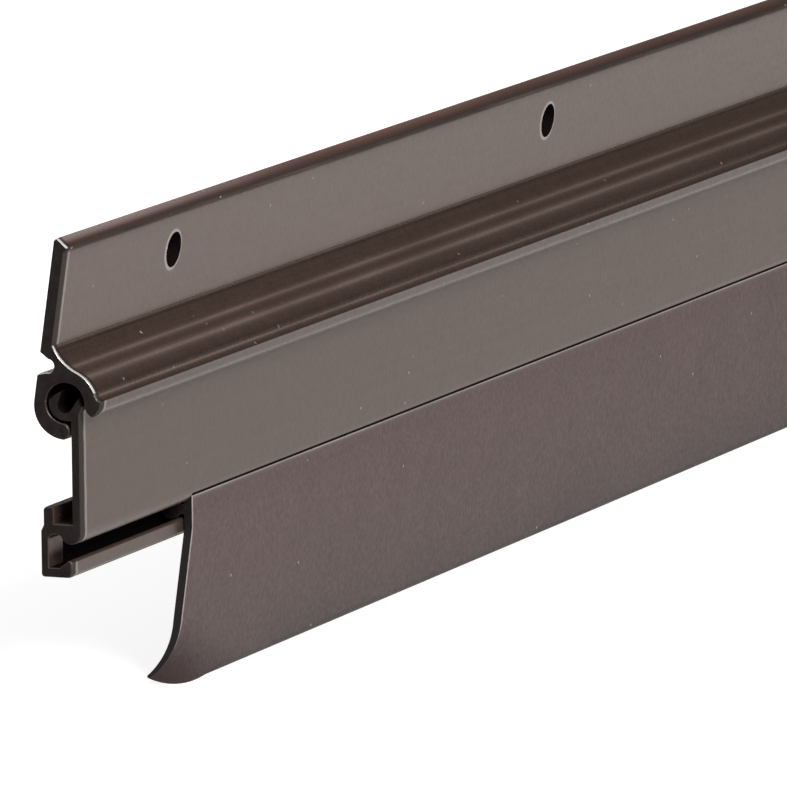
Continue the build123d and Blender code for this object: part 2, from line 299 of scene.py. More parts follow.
class SealStageSizes(PropertyGroup):
    """Floor, lamps and camera"""

    floor_size: mm("Floor size", "Width of the floor", 24000)
    floor_glow: amount("Floor glow", "Glow of the floor to the camera", 0.78)
    mirrored_glow: amount("Mirrored glow", "Glow of the floor in reflections", 0.55)
    sky_level: amount("Sky", "Level of the room", 0.62)
    key_power: amount("Key", "Power of the key lamp", 26, "POWER")
    fill_power: amount("Fill", "Power of the fill lamp", 6, "POWER")
    lens: amount("Lens", "Focal length", 580.11, "CAMERA")


def sizes(context, *names):
    """The scene's property groups of these names."""
    return [getattr(context.scene, "seal_" + name) for name in names]


# Drawing across the length


def mode(name):
    bpy.ops.object.mode_set(mode=name)


def deselect():
    bpy.ops.object.select_all(action="DESELECT")


def only(piece):
    """Makes one piece active and the only one selected."""
    deselect()
    bpy.context.view_layer.objects.active = piece
    piece.select_set(True)


def everything(action):
    """Selects or deselects the whole mesh in edit mode."""
    bpy.ops.mesh.select_all(action=action)


def extrude(step):
    bpy.ops.mesh.extrude_region_move(TRANSFORM_OT_translate={"value": step})


def new_piece(name):
    """An empty mesh at the origin, left in edit mode."""
    deselect()
    bpy.ops.mesh.primitive_plane_add(size=0.001)
    piece = bpy.context.active_object
    piece.name = name
    piece.data.name = name
    mode("EDIT")
    bpy.context.tool_settings.mesh_select_mode = (True, False, False)
    everything("SELECT")
    bpy.ops.mesh.delete(type="VERT")
    return piece


def on_circle(radius, angle, centre=(0, 0)):
    """The point at an angle on a circle, counted from the front and upwards."""
    return (centre[0] + radius * cos(angle), centre[1] + radius * sin(angle))


class Pen:
    """Draws an outline across the length: its points are (front, up) from the hinge's axis."""

    def __init__(self, hinge, x, lean=0.0):
        self.origin = Vector((x, -(hinge.bore_radius + hinge.socket_wall), -hinge.below_holes))
        self.front = Vector((0, -cos(lean), sin(lean)))
        self.up = Vector((0, sin(lean), cos(lean)))
        self.at = None

    def place(self, point):
        return self.origin + self.front * point[0] + self.up * point[1]

    def start(self, point):
        everything("DESELECT")
        bpy.ops.mesh.primitive_plane_add(size=0.0001, location=self.place(point))
        bpy.ops.mesh.merge(type="CENTER")
        self.at = point

    def line(self, *points):
        for point in points:
            extrude(self.place(point) - self.place(self.at))
            self.at = point

    def turn(self, centre, angle, steps=0):
        """Turns round a centre, anticlockwise with the front to the right."""
        away = (self.at[0] - centre[0], self.at[1] - centre[1])
        radius = hypot(*away)
        fewest = abs(angle) * radius / SHORTEST_STEP
        steps = steps or max(3, round(min(abs(angle) / ARC_STEP, fewest)))
        bpy.ops.mesh.spin(
            steps=steps, angle=angle, center=self.place(centre), axis=(1, 0, 0), dupli=False
        )
        self.at = on_circle(radius, atan2(away[1], away[0]) + angle, centre)

    def bow(self, end, bulge, steps=0):
        """An arc that stands off its chord, to the left of the way for a positive bulge."""
        begin = self.at
        way = (end[0] - begin[0], end[1] - begin[1])
        if abs(bulge) < FLAT_BULGE:
            for step in range(1, steps + 1):
                share = step / steps
                self.line((begin[0] + way[0] * share, begin[1] + way[1] * share))
            return
        chord = hypot(*way)
        radius = (chord**2 / 4 + bulge**2) / (2 * bulge)
        offset = (radius - bulge) / chord
        centre = (
            (begin[0] + end[0]) / 2 + offset * way[1],
            (begin[1] + end[1]) / 2 - offset * way[0],
        )
        self.turn(centre, -4 * atan2(2 * bulge, chord), steps)

    def close(self, fill=True):
        bpy.ops.mesh.select_linked()
        bpy.ops.mesh.remove_doubles(threshold=WELD)
        if fill:
            bpy.ops.mesh.edge_face_add()


def select_where(kind, test):
    """Selects the faces or edges in edit mode that pass a test."""
    everything("DESELECT")
    mesh = bmesh.from_edit_mesh(bpy.context.edit_object.data)
    for part in getattr(mesh, kind):
        if test(part):
            part.select_set(True)
    bmesh.update_edit_mesh(bpy.context.edit_object.data)


def select_at(kind, *places):
    """Selects the faces or edges that lie wholly in one of some planes across the length."""

    def in_plane(part):
        return any(all(abs(v.co.x - x) < WELD for v in part.verts) for x in places)

    select_where(kind, in_plane)


def paint(slot, test):
    """Gives the faces that pass a test another material slot."""
    select_where("faces", test)
    bpy.context.object.active_material_index = slot
    bpy.ops.object.material_slot_assign()


def extrude_filled(half_length):
    """Extrudes the filled outline along the length, short of its rounded ends."""
    extrude((2 * (half_length - END_RUN), 0, 0))
    everything("SELECT")
    bpy.ops.mesh.normals_make_consistent(inside=False)
    mode("OBJECT")


def ease_ends(piece, half_length):
    """Rounds both cut ends off in rings, long and shallow at first and then tight."""
    only(piece)
    mode("EDIT")
    for x in (half_length - END_RUN, END_RUN - half_length):
        select_at("faces", x)
        for along, inwards in END_RINGS:
            bpy.ops.mesh.inset(thickness=inwards / 1000, depth=along / 1000)
    mode("OBJECT")


def cut(piece, cutter):
    """Cuts one piece out of another and takes the cutter away."""
    only(piece)
    bpy.ops.object.modifier_add(type="BOOLEAN")
    modifier = piece.modifiers[-1]
    modifier.operation = "DIFFERENCE"
    modifier.solver = "EXACT"
    modifier.object = cutter
    bpy.ops.object.modifier_apply(modifier=modifier.name)
    bpy.data.objects.remove(cutter)


def cylinder_at(place, direction, radius, depth, sides):
    """A cylinder centred on a place, along a direction."""
    deselect()
    turn = Vector(direction).to_track_quat("Z", "Y").to_euler()
    bpy.ops.mesh.primitive_cylinder_add(
        vertices=sides, radius=radius, depth=depth, location=place, rotation=turn
    )
    return bpy.context.active_object


def finish_piece(piece, materials, body, node, in_painted_shade=None):
    """Smooths a finished piece, gives it its materials and sets it in the frame."""
    only(piece)
    for material in materials:
        piece.data.materials.append(bpy.data.materials[material])
    mode("EDIT")
    everything("SELECT")
    bpy.ops.mesh.remove_doubles(threshold=WELD / 4)
    bpy.ops.mesh.normals_make_consistent(inside=False)
    if len(materials) > 1:
        paint(1, lambda face: abs(face.normal.x) > 0.9)
    mode("OBJECT")
    bpy.ops.object.shade_smooth_by_angle(angle=SMOOTH_ANGLE)
    bpy.ops.object.modifier_add(type="WEIGHTED_NORMAL")
    piece.modifiers[-1].keep_sharp = True
    bpy.ops.object.modifier_apply(modifier=piece.modifiers[-1].name)
    # Faces in shade get the painted recess shade
    if in_painted_shade:
        mode("EDIT")
        paint(2, in_painted_shade)
        mode("OBJECT")
    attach(piece, body)
    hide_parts(node)


def finish_bronze(piece, body, node, in_painted_shade):
    """Ends an extrusion: its finish, its cut ends, and the faces that get painted shade in the
    recesses.
    """
    materials = ("Bronze anodised", "Bronze cut end", "Dark recess")
    finish_piece(piece, materials, body, node, in_painted_shade)


# Shader trees and groups


class Tree:
    """A node tree, with short calls for the nodes that the finishes need."""

    def __init__(self, tree):
        self.nodes = tree.nodes
        self.links = tree.links

    def put(self, place, value):
        """Links an output to an input, or sets the input to a plain value."""
        if hasattr(value, "is_output"):
            self.links.new(value, place)
        else:
            place.default_value = value

    def node(self, kind, *values, **named):
        """A node whose inputs are filled in order or by name."""
        node = self.nodes.new("ShaderNode" + kind)
        for place, value in [*enumerate(values), *named.items()]:
            key = place if isinstance(place, int) else place.replace("_", " ")
            self.put(node.inputs[key], value)
        return node

    def maths(self, operation, first, second=0.0):
        node = self.node("Math", first, second)
        node.operation = operation
        return node.outputs[0]

    def times(self, value, *others):
        for other in others:
            value = self.maths("MULTIPLY", value, other)
        return value

    def add(self, first, second):
        return self.maths("ADD", first, second)

    def minus(self, first, second):
        return self.maths("SUBTRACT", first, second)

    def over(self, first, second):
        return self.maths("DIVIDE", first, second)

    def largest(self, first, second):
        return self.maths("MAXIMUM", first, second)

    def invert(self, mask):
        return self.minus(1.0, mask)

    def spread(self, value, low, high, start=0.3, end=0.7):
        """Spreads a value around one half over a range."""
        limits = {"From_Min": start, "From_Max": end, "To_Min": low, "To_Max": high}
        return self.node("MapRange", value, **limits).outputs[0]

    def between(self, mask, outside, inside):
        """One value where a mask is 0, another where it is 1."""
        return self.spread(mask, outside, inside, 0.0, 1.0)

    def place(self, axis=None):
        """Object coordinates, or one of them."""
        place = self.node("TexCoord").outputs["Object"]
        return self.node("SeparateXYZ", place).outputs[axis] if axis else place

    def texture(self, kind, density, stretch=(1.0, 1.0, 1.0), **values):
        """A texture on object coordinates."""
        place = self.node("Mapping", self.place(), Scale=stretch).outputs[0]
        return self.node("Tex" + kind, Vector=place, Scale=density, **values)

    def soft_step(self, value, start, width):
        """Rises from 0 to 1 over a width, round a start."""
        share = self.over(self.minus(value, start), width)
        fade = self.node("MapRange", self.add(share, 0.5))
        fade.interpolation_type = "SMOOTHSTEP"
        return fade.outputs[0]


class Group(Tree):
    """A shader group whose inputs are named with their defaults."""

    def __init__(self, name, **inputs):
        self.group = bpy.data.node_groups.new(name, "ShaderNodeTree")
        super().__init__(self.group)
        self.inside = self.nodes.new("NodeGroupInput").outputs
        for key, default in inputs.items():
            kind = "NodeSocketFloat" if isinstance(default, float) else "NodeSocketVector"
            made = self.group.interface.new_socket(name=key, in_out="INPUT", socket_type=kind)
            made.default_value = default

    def give(self, name, value):
        """Makes the group's one output."""
        outside = self.nodes.new("NodeGroupOutput")
        self.group.interface.new_socket(
            name=name, in_out="OUTPUT", socket_type="NodeSocketFloat"
        )
        self.links.new(value, outside.inputs[name])


def noise_group(name, density, stretch, detail, roughness):
    """Noise that is drawn out by its stretch: a value around one half."""
    group = Group(name, Density=density)
    scale = group.inside["Density"]
    noise = group.texture("Noise", scale, stretch, Detail=detail, Roughness=roughness)
    group.give("Value", noise.outputs["Fac"])


def speck_group():
    """Scattered specks: a mask that is one in a few small dots."""
    group = Group("Specks", Density=260.0, Size=0.07, Share=0.12)
    cells = group.texture("Voronoi", group.inside["Density"]).outputs
    near = group.maths("LESS_THAN", cells["Distance"], group.inside["Size"])
    chance = group.node("SeparateColor", cells["Color"]).outputs[0]
    chosen = group.maths("LESS_THAN", chance, group.inside["Share"])
    group.give("Mask", group.times(near, chosen))


def end_band_group():
    """A band across the section at both cut ends, from a near to a far distance off the end."""
    group = Group("End band", Left=-0.4572, Right=0.4572, Near=0.0, Far=0.001, Blur=0.0002)
    along = group.place("X")
    blur = group.inside["Blur"]
    from_left = group.minus(along, group.inside["Left"])
    from_right = group.minus(group.inside["Right"], along)
    waver = group.texture("Noise", 900.0).outputs["Fac"]
    off = group.add(group.maths("MINIMUM", from_left, from_right), group.times(waver, blur))
    begun = group.soft_step(off, group.inside["Near"], blur)
    ended = group.soft_step(off, group.inside["Far"], blur)
    group.give("Mask", group.minus(begun, ended))


def facing_up_group():
    """A mask of the surfaces that face upwards."""
    group = Group("Facing up", Start=0.2, End=0.5)
    upward = group.node("SeparateXYZ", group.node("TexCoord").outputs["Normal"]).outputs["Z"]
    limits = {"From_Min": group.inside["Start"], "From_Max": group.inside["End"]}
    group.give("Mask", group.node("MapRange", upward, **limits).outputs[0])


def streak_group():
    """A soft streak along the length at one height, broken up by noise; most streaks are painted
    highlights and shade.
    """
    group = Group("Streak", Height=0.0, Width=0.0002)
    off = group.minus(group.place("Z"), group.inside["Height"])
    share = group.over(off, group.inside["Width"])
    bell = group.over(1.0, group.add(group.times(share, share), 1.0))
    broken = group.texture("Noise", 40.0, Detail=3.0).outputs["Fac"]
    group.give("Mask", group.times(bell, group.spread(broken, 0.6, 1.0)))


def beyond_group():
    """A mask of what lies further than a distance in one direction."""
    group = Group("Beyond", Direction=(0.0, 0.0, 1.0), Distance=0.0, Blur=0.0002)
    reach = group.node("VectorMath", group.place(), group.inside["Direction"])
    reach.operation = "DOT_PRODUCT"
    distance, blur = group.inside["Distance"], group.inside["Blur"]
    group.give("Mask", group.soft_step(reach.outputs["Value"], distance, blur))


def hole_rim_glint_group():
    """A mask of the holes of an evenly pitched row, set a little aside, so that the pale rim with
    its painted highlight is thicker on one side.
    """
    group = Group("Hole rim", Pitch=0.121, Radius=0.0022, Width=0.0003, Aside=0.00018)
    pitch = group.inside["Pitch"]
    wrapped = group.maths("FLOORED_MODULO", group.place("X"), pitch)
    across = group.add(group.minus(wrapped, group.times(pitch, 0.5)), group.inside["Aside"])
    height = group.place("Z")
    squares = group.add(group.times(across, across), group.times(height, height))
    distance = group.maths("SQRT", squares)
    past = group.soft_step(distance, group.inside["Radius"], group.inside["Width"])
    group.give("Mask", group.invert(past))


# Materials


def shaded(colour, share):
    return tuple(share * part for part in colour)


class Finish(Tree):
    """A material whose base colour is built up coat by coat."""

    def __init__(self, name, colour, **constants):
        self.material = bpy.data.materials.new(name)
        self.material.use_nodes = True
        super().__init__(self.material.node_tree)
        self.shader = self.nodes["Principled BSDF"]
        self.base = colour
        self.feed(**constants)

    def feed(self, **inputs):
        """Feeds the shader's inputs with outputs or plain values."""
        for name, value in inputs.items():
            self.put(self.shader.inputs[name.replace("_", " ")], value)

    def mask(self, group, **values):
        """Places a shared group with its own values."""
        node = self.nodes.new("ShaderNodeGroup")
        node.node_tree = bpy.data.node_groups[group]
        for name, value in values.items():
            node.inputs[name.capitalize()].default_value = value
        return node.outputs[0]

    def coat(self, mask, colour, share=None):
        """Lays a colour over the base where a mask says, at a share of its strength."""
        node = self.node("Mix")
        node.data_type = "RGBA"
        self.put(node.inputs["Factor"], mask if share is None else self.times(mask, share))
        for name, value in (("A", self.base), ("B", colour)):
            place = next(i for i in node.inputs if i.name == name and i.type == "RGBA")
            self.put(place, value if hasattr(value, "is_output") else (*value, 1.0))
        self.base = next(o for o in node.outputs if o.type == "RGBA")

    def bump(self, height, distance, strength, before=None):
        node = self.node("Bump", Height=height, Distance=distance, Strength=strength)
        if before is not None:
            self.put(node.inputs["Normal"], before)
        return node.outputs[0]


def bronze_finish(colours, hinge, rail):
    """Grain and die lines, painted highlights and dark bands along the hood, dust, and painted
    highlights and shade at the edges and ends.
    """
    tint = (1.0, 0.94, 0.88, 1.0)
    finish = Finish("Bronze anodised", colours.bronze, Metallic=0.3, IOR=1.5, Specular_Tint=tint)
    mask, times, spread, between = finish.mask, finish.times, finish.spread, finish.between
    grain = mask("Fine grain", density=2100.0)
    cloud = mask("Fine grain", density=420.0)
    lines = mask("Die lines", density=1400.0)

    # Bands at the cut ends, sides of the section and stretches of the length
    ends = {"left": -hinge.length / 2, "right": hinge.length / 2}
    painted_end_shade = mask("End band", near=0.0, far=0.0013, blur=0.0003, **ends)
    brink_highlight = mask("End band", near=0.0013, far=0.0019, blur=0.0003, **ends)
    end_highlight = mask("End band", near=-0.001, far=0.0005, blur=0.00025, **ends)
    upper = mask("Facing up", start=0.2, end=0.5)
    sideways = finish.invert(upper)
    hood = mask("Beyond", distance=-0.0113)
    rail_side = mask("Beyond", distance=-0.0133)
    flange = mask("Beyond", distance=-0.0065)
    top = mask("Beyond", distance=0.0052)
    top_back = mask("Beyond", direction=(0, 1, 0), distance=-0.0011, blur=0.001)
    leaf_front = mask("Beyond", direction=(0, -1, 0), distance=0.0055)
    near_end = mask("Beyond", direction=(-1, 0, 0), distance=0.41, blur=0.07)
    far_end = mask("Beyond", direction=(1, 0, 0), distance=-0.29, blur=0.24)
    flange_foot = mask("Streak", height=-0.0066, width=0.0025)
    bead_shadow = mask("Streak", height=0.0047, width=0.0003)
    front = times(sideways, finish.largest(rail_side, leaf_front))

    # Metal, with lighter grain, a painted sheen on the flange, and painted streaks of highlight
    # and shade along it
    finish.coat(spread(lines, 0.0, 0.4), colours.bronze_light)
    mottle = times(spread(grain, 0.0, 0.8), between(upper, 1.0, 0.25))
    finish.coat(mottle, colours.bronze_light)
    finish.coat(spread(cloud, 0.0, 0.3), colours.bronze_light)
    # Painted sheen that lightens the flange, stronger near its foot
    flange_sheen = times(flange, between(flange_foot, 0.1, 0.26), sideways)
    finish.coat(flange_sheen, colours.streak_highlight)
    for height, width, near, far, colour in STREAKS:
        streak = mask("Streak", height=height / 1000, width=width / 1000)
        finish.coat(streak, getattr(colours, colour), between(far_end, near, far))
    # Painted shadow under the bead
    finish.coat(bead_shadow, colours.cut_face_and_shade)

    # Dust, grit, hole rims with a painted highlight, and painted sheen, highlights and shade at
    # the edges and ends
    pale_marks = colours.grit_and_highlight
    finish.coat(mask("Specks", density=700.0, size=0.12, share=0.025), colours.dust)
    grit = mask("Specks", density=560.0, size=0.13, share=0.08)
    finish.coat(times(grit, upper, near_end), pale_marks, 0.6)
    # A pale rim round each hole, with a painted highlight thicker on one side
    rim_radius = rail.hole_diameter / 2 + rail.hole_rim
    finish.coat(mask("Hole rim", pitch=rail.hole_pitch, radius=rim_radius), pale_marks, 0.35)
    # Painted sheen on the back of the top near the left end
    finish.coat(times(top, top_back, near_end), pale_marks, 0.22)
    # Painted dark reflection in the band at the cut ends
    finish.coat(times(painted_end_shade, finish.largest(front, upper)), colours.end_shade_and_cut_cloud, 0.75)
    # Painted highlight on the brink past that band
    finish.coat(times(brink_highlight, front), pale_marks, 0.2)
    # Painted highlight where the upper faces round off at the ends, strongest on the hood and
    # above
    finish.coat(times(end_highlight, upper, between(hood, 0.08, 0.9)), pale_marks)

    matte = finish.largest(times(painted_end_shade, front), bead_shadow)
    rough = finish.add(spread(grain, 0.28, 0.42), times(matte, 0.5))
    rough = finish.add(rough, times(upper, rail_side, -0.08))
    relief = times(grain, between(upper, 1.0, 0.5))
    normal = finish.bump(relief, 0.00003, 0.5, finish.bump(lines, 0.00001, 0.1))
    finish.feed(Base_Color=finish.base, Roughness=rough, Normal=normal)


def vinyl_finish(colours, hinge, fin):
    """Cloudy brown vinyl, darker at its free edge, with painted shade in its curl and a painted
    highlight along its brink.
    """
    tint = (1.0, 0.92, 0.91, 1.0)
    finish = Finish("Brown vinyl", colours.vinyl, IOR=1.42, Specular_Tint=tint)
    mask, spread = finish.mask, finish.spread
    grain = mask("Fine grain", density=2500.0)
    cloud = mask("Fine grain", density=160.0)
    ends = {"left": fin.setback - hinge.length / 2, "right": hinge.length / 2}
    brink_highlight = mask("End band", near=-0.001, far=0.0005, blur=0.0003, **ends)
    straight = mask("Beyond", distance=-0.0455, blur=0.005)
    curl = mask("Beyond", direction=(-0.4, 0, -1), distance=0.2155, blur=0.009)
    crest_highlight = mask("Streak", height=-0.02858, width=0.0001)
    foot = mask("Streak", height=-0.0514, width=0.00015)
    free_edge = mask("Streak", height=-0.0535, width=0.006)
    finish.coat(spread(cloud, 0.0, 0.5), shaded(colours.vinyl, 0.72))
    finish.coat(spread(grain, 0.0, 0.4), shaded(colours.vinyl, 0.72))
    finish.coat(free_edge, shaded(colours.vinyl, 0.4))
    finish.coat(foot, colours.vinyl_cut)
    finish.coat(curl, colours.curl_shade, 0.9)
    # Painted highlight along the fin's brink at its ends and along its top edge
    finish.coat(finish.largest(finish.times(brink_highlight, straight), crest_highlight), colours.grit_and_highlight, 0.4)
    finish.coat(mask("Specks", density=600.0, size=0.12, share=0.02), colours.dust)
    rough = finish.add(spread(grain, 0.44, 0.6), finish.times(curl, 0.12))
    normal = finish.bump(grain, 0.00003, 0.22)
    finish.feed(Base_Color=finish.base, Roughness=rough, Normal=normal)


def grained_finish(finish, texture, density, colour, share, rough, bump=None):
    """Ends a plain finish: a second colour, the roughness and a bump from one texture."""
    grain = finish.mask(texture, density=density)
    finish.coat(finish.spread(grain, 0.0, share), colour)
    finish.feed(Base_Color=finish.base, Roughness=finish.spread(grain, *rough))
    if bump:
        finish.feed(Normal=finish.bump(grain, *bump))


def plain_finishes(colours):
    """The cut ends of metal and vinyl, the painted shade of the recesses and the wire."""
    finish = Finish("Bronze cut end", colours.cut_face_and_shade, IOR=1.35, Specular_IOR_Level=0.22)
    cloud = finish.mask("Fine grain", density=700.0)
    finish.coat(finish.spread(cloud, 0.0, 0.6, 0.4, 0.7), colours.end_shade_and_cut_cloud)
    grained_finish(
        finish, "Fine grain", 3400.0, colours.bronze, 0.3, (0.5, 0.65), (0.00003, 0.3)
    )
    # Painted shade for the socket, the screw holes' bores, the hollow, the channel and the joint
    # above the fin
    darker = shaded(colours.cut_face_and_shade, 0.4)
    finish = Finish("Dark recess", darker, IOR=1.3, Specular_IOR_Level=0.06)
    grained_finish(finish, "Fine grain", 3000.0, colours.cut_face_and_shade, 1.0, (0.7, 0.9))
    finish = Finish("Vinyl cut end", colours.vinyl_cut, IOR=1.35, Specular_IOR_Level=0.3)
    lighter = shaded(colours.vinyl_cut, 3.0)
    grained_finish(finish, "Fine grain", 2400.0, lighter, 0.7, (0.5, 0.7), (0.00003, 0.5))
    finish = Finish("Drawn spring steel", colours.spring_steel, Metallic=1.0)
    dark = shaded(colours.spring_steel, 0.6)
    grained_finish(finish, "Die lines", 3000.0, dark, 1.0, (0.25, 0.4), (0.00001, 0.2))


# Pieces


class DOORSEAL_OT_finishes(Operator):
    """Make the shader groups and the materials"""

    bl_idname = "doorseal.finishes"
    bl_label = "Finishes"

    def execute(self, context):
        hinge, rail, fin, colours = sizes(context, "hinge", "rail", "fin", "colours")
        noise_group("Fine grain", 2200.0, (1.0, 1.0, 0.7), 3.0, 0.6)
        noise_group("Die lines", 900.0, (0.004, 1.0, 1.0), 4.0, 0.7)
        speck_group()
        end_band_group()
        facing_up_group()
        streak_group()
        beyond_group()
        hole_rim_glint_group()
        bronze_finish(colours, hinge, rail)
        vinyl_finish(colours, hinge, fin)
        plain_finishes(colours)
        return {"FINISHED"}


class DOORSEAL_OT_mounting_rail(Operator):
    """Model the rail: flange, bead, hood, lip, socket and lower arm"""

    bl_idname = "doorseal.mounting_rail"
    bl_label = "Mounting rail"

    def draw_outline(self, pen, hinge, rail, leaf):
        bore = hinge.bore_radius
        socket_radius = bore + hinge.socket_wall
        back = -socket_radius
        front = back + rail.flange_thickness
        top = hinge.below_holes + rail.flange_above_holes
        corner = (back + rail.flange_edge_round, top - rail.flange_edge_round)
        bead = (front + rail.bead_proud - rail.bead_radius, top - rail.bead_below_top)
        bead_start = on_circle(rail.bead_radius, radians(55), bead)
        bead_foot = on_circle(rail.bead_radius, radians(-60), bead)
        hood_foot = (front, socket_radius + rail.hood_rise)
        foot = (back, socket_radius + rail.foot_rise)

        # Flange, from its foot up the back, over the beaded top edge and down the front
        pen.start(foot)
        pen.line((back, corner[1]))
        pen.turn(corner, radians(-90))
        pen.line(bead_start)
        pen.turn(bead, radians(-115))
        pen.line((front, bead_foot[1] - rail.bead_radius / 2), hood_foot)

        # Hood: a hollow that meets the round part on a common tangent, then round
        hood_start = on_circle(socket_radius, rail.hood_start)
        outward = on_circle(1, rail.hood_start)
        away = (hood_start[0] - hood_foot[0], hood_start[1] - hood_foot[1])
        along = outward[0] * away[0] + outward[1] * away[1]
        offset = -(away[0] ** 2 + away[1] ** 2) / (2 * along)
        hollow = (hood_start[0] + offset * outward[0], hood_start[1] + offset * outward[1])
        from_foot = atan2(hood_foot[1] - hollow[1], hood_foot[0] - hollow[0])
        to_start = atan2(hood_start[1] - hollow[1], hood_start[0] - hollow[0])
        pen.turn(hollow, (to_start - from_foot + pi) % (2 * pi) - pi)
        pen.turn((0, 0), rail.hood_end - rail.hood_start)

        # Lip: a fine groove, a flat front and a slanted underside
        lip_front = socket_radius + rail.lip_proud
        pen.line(
            (socket_radius, rail.lip_top + rail.lip_proud / 3),
            (lip_front, rail.lip_top),
            (lip_front, rail.lip_top - rail.lip_height),
        )
        pen.bow((bore + rail.lip_reach, -rail.lip_drop), LIP_BOW)
        pen.bow((bore, 0), MOUTH_BOW)

        # Socket, and the arm whose tip stops just behind the web
        web_back = bore - hinge.clearance - leaf.web_inset - leaf.web_thickness
        web_at_tip = (web_back + rail.arm_tip_drop * sin(hinge.lean)) / cos(hinge.lean)
        tip = web_at_tip - rail.stop_gap
        arm_centre = (0, -rail.arm_drop)
        pen.turn((0, 0), radians(270))
        pen.bow((tip, -rail.arm_tip_drop), ARM_INNER_BOW)
        pen.line((tip, -rail.arm_tip_drop - rail.arm_tip_height))
        pen.bow(on_circle(socket_radius, rail.arm_end, arm_centre), ARM_OUTER_BOW)
        pen.turn(arm_centre, pi - rail.arm_end)

        # Back of the arm, and the relief between it and the flange's foot
        relief = on_circle(bore + rail.notch_wall + rail.notch_radius, rail.notch_angle)
        nub_top = relief[1] - rail.notch_radius - rail.nub_drop
        pen.line((back, nub_top - rail.nub_round), (back + rail.nub_round, nub_top))
        pen.line(on_circle(rail.notch_radius, radians(-95), relief))
        pen.turn(relief, radians(190))
        pen.line(foot)
        pen.close()

    def drill_holes(self, piece, rail):
        """Screw holes in a row, slightly narrower at the back."""
        slope = rail.hole_taper / rail.flange_thickness
        depth = 3 * rail.flange_thickness
        radius = (rail.hole_diameter - rail.hole_taper) / 2
        middle = (rail.hole_count - 1) / 2
        for number in range(rail.hole_count):
            deselect()
            bpy.ops.mesh.primitive_cone_add(
                vertices=48,
                radius1=radius - slope * depth / 2,
                radius2=radius + slope * depth / 2,
                depth=depth,
                location=((number - middle) * rail.hole_pitch, -rail.flange_thickness / 2, 0),
                rotation=(pi / 2, 0, 0),
            )
            cut(piece, bpy.context.active_object)

    def drill_anchor(self, piece, hinge, leaf, wire):
        """The hole for the wire's leg, from the door side into the socket."""
        x = hinge.length / 2 - wire.end_distance
        anchor = Pen(hinge, x, hinge.lean).place((0, -leaf.hollow_drop))
        depth = hinge.bore_radius + hinge.socket_wall
        outside = 0.001
        place = (x, (outside - depth) / 2, anchor.z)
        cut(piece, cylinder_at(place, (0, 1, 0), wire.anchor_radius, depth + outside, 24))

    def execute(self, context):
        hinge, rail, leaf, wire = sizes(context, "hinge", "rail", "leaf", "wire")
        half = hinge.length / 2
        piece = new_piece("bronze_mounting_rail")
        self.draw_outline(Pen(hinge, END_RUN - half), hinge, rail, leaf)
        extrude_filled(half)
        self.drill_holes(piece, rail)
        self.drill_anchor(piece, hinge, leaf, wire)
        ease_ends(piece, half)
        axis = Pen(hinge, 0).place((0, 0))

        def in_painted_shade(face):
            """The socket's wall and the inside of the screw holes, which get painted shade."""
            place = face.calc_center_median()
            across = ((place.x / rail.hole_pitch) % 1 - 0.5) * rail.hole_pitch
            in_hole = hypot(across, place.z) < rail.hole_diameter / 2
            in_socket = hypot(place.y - axis.y, place.z - axis.z) < 1.02 * hinge.bore_radius
            bored = in_hole and abs(face.normal.y) < 0.5
            return bored or (in_socket and abs(face.normal.x) < 0.9)

        finish_bronze(piece, "rail", "mounting_rail", in_painted_shade)
        return {"FINISHED"}


